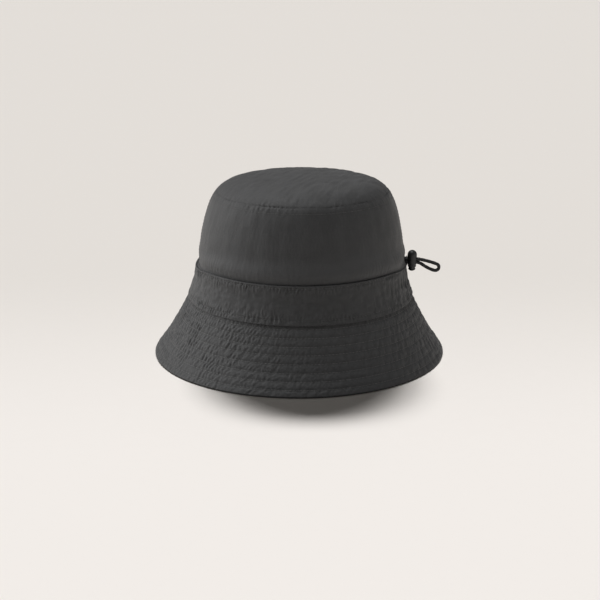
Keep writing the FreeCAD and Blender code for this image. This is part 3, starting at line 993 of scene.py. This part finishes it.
def make_tip():
    shape = profile(CROWN_OUTLINE, SEAM_Z, PAST_TOP_Z, 0.5)
    share, angle = disc_grid(221)
    x, y, distance = flat_places(shape, share, angle)
    fold = flat_relief(x, y, 20.0, 83, 2.6, 1.25, crease=0.06)
    lift = 0.15 * flat_relief(x, y, 26.0, 81) + 0.11 * flat_relief(x, y, 9.0, 82, 5.0, 1.2) + 0.16 * fold
    lift = lift * ease(distance, 0.0, 8.0) + seam_relief(angle, distance)
    disc_cloth("crown_tip", shell_fabric, shape, share, angle,
               lift, lift * 0.8 - FABRIC, lift)


make_tip()


# ---------------------------------------------------------------- inside

INSIDE_COLUMNS = 480
INSIDE_COLUMN_STEP = 1.1
INSIDE_ANGLES = once_round(INSIDE_COLUMNS)
SWEATBAND_THICKNESS = 1.1
SWEATBAND_UV_RADIUS = 86.0
SWEATBAND_STITCH = 3.0     # above its lower edge
LINING_THICKNESS = 0.4
LINING_STITCH = 3.0        # below the tip's seam
LINING_RANGE = (-0.6, 1.6)  # of the lining's relief


def make_sweatband():
    """A band of twill inside, stitched near its lower edge. Returns the line of stitching."""
    step = 0.8
    shape = profile(CROWN_OUTLINE, SWEATBAND_LOW_Z, SWEATBAND_TOP_Z, step)
    noise_field = ring_noise(len(shape["run"]), INSIDE_COLUMNS, step, INSIDE_COLUMN_STEP, 91)
    soft = noise_field(0, 12.0)
    pucker = noise_field(5.0, 9.0, 0.4)
    run = shape["run"][:, None]
    by_stitch = run - SWEATBAND_STITCH
    lift = 0.12 * soft + 0.16 * pucker * near(by_stitch, 5.0) - 0.22 * near(by_stitch, 0.9)
    lift = lift * ease(run, 0.0, 2.0)
    _, inner = ring_cloth("sweatband", sweat_fabric, shape, INSIDE_ANGLES,
                          0 * lift - SWEATBAND_DEPTH, -SWEATBAND_DEPTH - SWEATBAND_THICKNESS - lift,
                          lift, SWEATBAND_UV_RADIUS, closed=True)
    return line_at(shape, inner, -normals_of(shape, INSIDE_ANGLES), SWEATBAND_STITCH)


def make_lining_sides():
    """Two loose halves of lining, puckered at both ends. Returns their lines of stitching."""
    step = 1.1
    shape = profile(CROWN_OUTLINE, SWEATBAND_TOP_Z + 0.2, LINING_SEAM_Z, step)
    noise_field = ring_noise(len(shape["run"]), INSIDE_COLUMNS, step, INSIDE_COLUMN_STEP, 93)
    soft = noise_field(0, 18.0)
    folds = noise_field(14.0, 30.0, 0.6)
    pucker = noise_field(4.0, 8.0, 0.4)
    run = shape["run"][:, None]
    total = shape["run"][-1]
    lift = 0.35 * soft + 0.30 * folds + 0.15 * pucker * (near(run, 6.0) + near(run - total, 6.0))
    lift = lift * ease(run, 0.0, 5.0) * (1 - ease(run, total - 5.0, total))
    seams = from_seams(INSIDE_ANGLES, CROWN_UV_RADIUS)[None, :]
    lift = np.clip(lift * (1 - near(seams, 3.0)) - 0.4 * near(seams, 0.8), *LINING_RANGE)
    lines = []
    for side, angles in halves(INSIDE_COLUMNS):
        part = ring_part(lift, angles)
        _, inner = ring_cloth(f"lining_side_{side}", lining_fabric, shape, angles,
                              -LINING_DEPTH - 0.9 * part, -LINING_DEPTH - LINING_THICKNESS - part,
                              part, CROWN_UV_RADIUS)
        lines.append(line_at(shape, inner, -normals_of(shape, angles), total - LINING_STITCH, closed=False))
    return lines


def make_lining_tip():
    shape = profile(CROWN_OUTLINE, LINING_SEAM_Z, PAST_TOP_Z, 0.6)
    share, angle = disc_grid(121)
    x, y, distance = flat_places(shape, share, angle)
    lift = 0.5 * flat_relief(x, y, 30.0, 96) + 0.2 * flat_relief(x, y, 12.0, 97, 4.0, 0.5)
    lift = np.clip(lift, *LINING_RANGE) * ease(distance, 0.0, 6.0)
    disc_cloth("lining_tip", lining_fabric, shape, share, angle,
               -LINING_DEPTH - 0.9 * lift, -LINING_DEPTH - LINING_THICKNESS - lift, lift)


def make_inside():
    """Sweatband and lining, each a little loose of the shell, and their stitching."""
    lines = [make_sweatband(), *make_lining_sides()]
    make_lining_tip()
    sew("inside_stitches", lines, inner_thread, radius=0.15)


make_inside()


def make_label():
    """A blank woven tape, bowed a little and thinner at its edges."""
    low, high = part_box("care_label")
    size = high - low
    count = 34
    u = np.linspace(0, 1, count)[None, :]
    v = np.linspace(0, 1, count)[:, None]
    x = low.x + size.x * u + 0 * v
    z = low.z + size.z * v + 0 * u
    bow = 0.0009 * np.sin(v * math.pi) + 0.0004 * np.sin(u * 5.0) * (1 - v)
    middle = (low.y + high.y) / 2 - bow
    edge = 0.25 * MM * (1 - near(u, 0.05) * 0.5 - near(u - 1, 0.05) * 0.5) * (1 - near(v, 0.05) * 0.3)
    outer = np.stack([x, middle - edge, z], axis=2)
    inner = np.stack([x, middle + edge, z], axis=2)
    made = shell("care_label_cloth", outer, inner, label_fabric, False,
                 np.linspace(0, size.x, count), np.linspace(0, size.z, count), 0.5 + 0 * (u + v))
    on_hat(made, "care_label")


make_label()


# ---------------------------------------------------------------- cords

CORD_RADIUS = 1.5
STRAND_OFFSET = 1.53
STRAND_RELIEF = 0.13
CHANNEL_GAP = 0.3
LOOP_ROUTE = [
    (94.4, 82.53), (98.8, 82.6), (103.6, 82.45), (108.9, 81.4), (114.2, 80.0), (118.8, 78.5),
    (122.2, 77.1), (122.7, 73.6), (119.9, 71.5), (115.1, 73.1), (110.1, 75.8), (105.2, 79.3),
    (100.2, 79.5), (94.4, 79.47),
]
braid = braid_material()


def spline_line(name, points):
    """The smooth line of a NURBS spline with these control points, in metres, as an array."""
    data = bpy.data.curves.new(name, "CURVE")
    data.dimensions = "3D"
    data.resolution_u = 16
    spline = data.splines.new("NURBS")
    spline.points.add(len(points) - 1)
    for i, point in enumerate(points):
        spline.points[i].co = (*[c * MM for c in point], 1.0)
    spline.order_u = 3
    spline.use_endpoint_u = True
    holder = bpy.data.objects.new(name, data)
    bpy.context.scene.collection.objects.link(holder)
    bpy.context.view_layer.update()
    mesh = bpy.data.meshes.new_from_object(holder)
    line = np.array([v.co for v in mesh.vertices], float)
    bpy.data.objects.remove(holder)
    bpy.data.meshes.remove(mesh)
    return line


def capped_tube(body, centre, along, radius):
    """Points, faces and UVs of a tube: rings of points, closed by a fan about each end's centre."""
    count, sides = body.shape[:2]
    faces, row, column = grid_faces(count, sides, True, 0, True)
    points = np.vstack([body.reshape(-1, 3), centre[:1], centre[-1:]])
    caps = []
    hub = count * sides
    for s in range(0, sides, 2):
        caps.append([hub, s, s + 1, (s + 2) % sides])
        last = (count - 1) * sides
        caps.append([hub + 1, last + (s + 2) % sides, last + s + 1, last + s])
    uv = np.stack([column / sides * 2 * math.pi * radius * MM, along[row]], axis=2)
    uv = np.concatenate([uv, np.zeros((len(caps), 4, 2))])
    return points, np.vstack([faces, caps]), uv


def braided(name, line, step=0.28, strands=8, lay=2.4, sides=32):
    """A tube of braid along a line: two sets of strands wound opposite ways stand proud in turn."""
    run = run_of(line)
    count = int(run[-1] / (step * MM)) + 1
    even = np.linspace(0, run[-1], count)
    centre = along_line(line, run, even)
    tangent = unit(np.gradient(centre, axis=0))
    first = np.zeros((count, 3))
    guide = np.array([1.0, 0.0, 0.0]) if abs(tangent[0][0]) < 0.9 else np.array([0.0, 0.0, 1.0])
    for i in range(count):
        guide = unit(guide - tangent[i] * (guide @ tangent[i]))
        first[i] = guide
    second = np.cross(tangent, first)
    around = once_round(sides)
    turn = strands / 2 * around[None, :]
    slide = even[:, None] / (lay * MM) * math.pi
    relief = np.maximum(np.cos(turn + slide), np.cos(turn - slide))
    radius = (CORD_RADIUS - STRAND_RELIEF + STRAND_RELIEF * relief) * MM
    body = centre[:, None] + radius[:, :, None] * ring_about(first, second, around)
    points, faces, uv = capped_tube(body, centre, even, CORD_RADIUS)
    return make_object(name, points, faces, braid, uv, np.append(relief.ravel(), [0.5, 0.5]), sharp=75.0)


def make_spring():
    """The cord lock's spring, rebuilt as a coil of round wire that fills the CAD spring's box."""
    low, high = (np.array(corner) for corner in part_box("cord_lock_spring"))
    wire = 0.225
    turns, steps, sides = 4, 30, 8
    middle = (low + high) / 2
    coil = (high[0] - low[0]) / 2 - wire * MM
    angle = np.arange(turns * steps + 1) / steps * 2 * math.pi
    height = np.linspace(low[2] + wire * MM, high[2] - wire * MM, len(angle))
    outward = np.stack([np.cos(angle), np.sin(angle), 0 * angle], axis=1)
    centre = middle * (1.0, 1.0, 0.0) + coil * outward + height[:, None] * (0.0, 0.0, 1.0)
    upright = np.tile([0.0, 0.0, 1.0], (len(angle), 1))
    body = centre[:, None] + wire * MM * ring_about(outward, upright, once_round(sides))
    points, faces, uv = capped_tube(body, centre, coil * angle, wire)
    steel = metal_material("spring_wire", (0.42, 0.42, 0.43), (0.6, 0.6, 0.61), 0.3, (900.0, 900.0, 2600.0))
    made = make_object("cord_lock_spring_wire", points, faces, steel, uv, sharp=75.0)
    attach(made, "lock")
    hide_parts("cord_lock_spring")
    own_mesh(made)
    return made


def channel_route():
    """Control points of the cord in the band: in, once round from the upper strand to the lower, out."""
    sides = 24
    upper, lower = CORD_Z + STRAND_OFFSET, CORD_Z - STRAND_OFFSET
    radius = float(np.interp(lower, crown_shape["z"], crown_shape["r"])) + CHANNEL_GAP + CORD_RADIUS
    start_y = LOOP_ROUTE[0][0]
    turn_y = radius + LEAN * CORD_Z
    corner = radius / math.cos(math.pi / sides)
    route = [(0.0, start_y, upper), (0.0, turn_y, upper)]
    for i in range(sides):
        share = (i + 0.5) / sides
        angle = 2 * math.pi * share
        height = upper + (lower - upper) * share
        x, y = SIDE_RATIO * corner * math.sin(angle), corner * math.cos(angle) + LEAN * height
        route.append((x, y, height))
    route += [(0.0, turn_y, lower), (0.0, start_y, lower)]
    return route


def make_cords():
    spring = make_spring()
    line = spline_line("loop_route", [(0.0, y, z) for y, z in LOOP_ROUTE])
    loop = braided("drawcord_loop_braid", line)
    on_hat(loop, "drawcord_loop")
    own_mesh(loop)

    held = braided("drawcord_in_channel", spline_line("channel_route", channel_route()), step=0.6, sides=16)
    on_hat(held, "drawcord")


make_cords()


# ---------------------------------------------------------------- finishes of the CAD nodes

def finish_node(name, material):
    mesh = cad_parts[name].data
    mesh.materials.clear()
    mesh.materials.append(material)


lock_plastic = plastic_material("lock_plastic_black", (0.010, 0.010, 0.011), (0.020, 0.020, 0.021), 0.45)
button_plastic = plastic_material("button_plastic_black", (0.009, 0.009, 0.010), (0.018, 0.018, 0.019), 0.40)
finish_node("cord_lock_body", lock_plastic)
finish_node("cord_lock_button", button_plastic)
black_metal = metal_material(
    "eyelet_black_lacquer", (0.015, 0.015, 0.016), (0.03, 0.03, 0.031), 0.38, (1500.0, 300.0, 1500.0))
finish_node("eyelet", black_metal)
finish_node("eyelet_washer", black_metal)
finish_node("brim_interlining", nonwoven_material())


# ---------------------------------------------------------------- studio

def make_floor():
    """A plain pale floor with a painted light falloff: a little darker behind the hat than before it."""
    size = 9.0
    count = 24
    line = np.linspace(-size, size, count)
    x, y = np.meshgrid(line, line, indexing="ij")
    points = np.stack([x, y, 0 * x], axis=2).reshape(-1, 3)
    faces, _, _ = grid_faces(count, count, False, 0, False)
    material, tree, shader = new_material("studio_floor", (0.8, 0.78, 0.76), 0.9, 0.1)
    place = object_place(tree)
    apart = node(tree, "ShaderNodeSeparateXYZ")
    tree.links.new(place, apart.inputs["Vector"])
    # painted light falloff: the floor's colour runs darker behind the hat (-X) and lighter before it (+X)
    depth = node(tree, "ShaderNodeMapRange", interpolation_type="SMOOTHSTEP")
    depth.inputs["From Min"].default_value = -0.26
    depth.inputs["From Max"].default_value = 0.24
    tree.links.new(apart.outputs["X"], depth.inputs["Value"])
    tone = weighted_sum(tree, -0.05, (depth.outputs["Result"], 1.0), (noise(tree, place, 90.0, 3.0), 0.10))
    colour = colour_between(tree, tone, (0.735, 0.700, 0.662), (0.850, 0.812, 0.778))
    tree.links.new(colour, shader.inputs["Base Color"])
    floor = make_object("studio_floor", points, faces, material, sharp=30.0)
    return floor


def group(name, objects):
    """A collection that a light can be limited to."""
    made = bpy.data.collections.new(name)
    for member in objects:
        made.objects.link(member)
    return made


def add_sun(name, towards, strength, softness, receivers, blockers=None):
    """Light from a direction, as wide as a softbox that covers `softness` degrees of the view. It
    lights only its receivers and only its blockers, if given, shade them, as flags do in a studio."""
    data = bpy.data.lights.new(name, "SUN")
    data.energy = strength
    data.angle = math.radians(softness)
    light = bpy.data.objects.new(name, data)
    light.rotation_euler = Vector(towards).to_track_quat("Z", "Y").to_euler()
    light.light_linking.receiver_collection = receivers
    if blockers:
        light.light_linking.blocker_collection = blockers
    bpy.context.scene.collection.objects.link(light)


def make_world():
    """A soft pale room: what the camera sees behind the floor, and a weaker fill from everywhere."""
    world = bpy.data.worlds.new("studio")
    world.use_nodes = True
    tree = world.node_tree
    tree.nodes.clear()
    seen = node(tree, "ShaderNodeBackground", Color=(0.752, 0.716, 0.679, 1.0), Strength=1.0)
    fill = node(tree, "ShaderNodeBackground", Color=(1.0, 0.96, 0.89, 1.0), Strength=0.06)
    ray = node(tree, "ShaderNodeLightPath")
    mix = node(tree, "ShaderNodeMixShader")
    out = node(tree, "ShaderNodeOutputWorld")
    tree.links.new(ray.outputs["Is Camera Ray"], mix.inputs["Fac"])
    tree.links.new(fill.outputs["Background"], mix.inputs[1])
    tree.links.new(seen.outputs["Background"], mix.inputs[2])
    tree.links.new(mix.outputs["Shader"], out.inputs["Surface"])
    bpy.context.scene.world = world


LOCK_AND_LOOP = ("cord_lock", "drawcord_loop")
pieces = [o for o in bpy.context.scene.objects if o.type == "MESH"]
hat_pieces = group("hat_pieces", pieces)
cloth_pieces = group("cloth_pieces", [o for o in pieces if not o.name.startswith(LOCK_AND_LOOP)])
floor_pieces = group("floor_pieces", [make_floor()])
make_world()
for name, side in (("left", -0.15), ("middle", -0.05), ("right", 0.05)):
    add_sun(f"key_on_floor_{name}", (-0.56, side, 0.83), 1.20, 10.0, floor_pieces, cloth_pieces)
add_sun("room_on_floor", (0.10, 0.0, 1.00), 0.12, 150.0, floor_pieces)
add_sun("key_above", (-0.36, -0.22, 0.90), 0.90, 20.0, hat_pieces)
add_sun("overhead", (0.08, -0.10, 1.00), 0.96, 26.0, hat_pieces)
add_sun("softbox_left", (-0.10, -0.90, 0.42), 2.18, 50.0, hat_pieces)
add_sun("fill_right", (0.30, 0.85, 0.45), 0.36, 50.0, hat_pieces)
bpy.context.scene.view_settings.view_transform = "Standard"
bpy.context.scene.view_settings.look = "None"
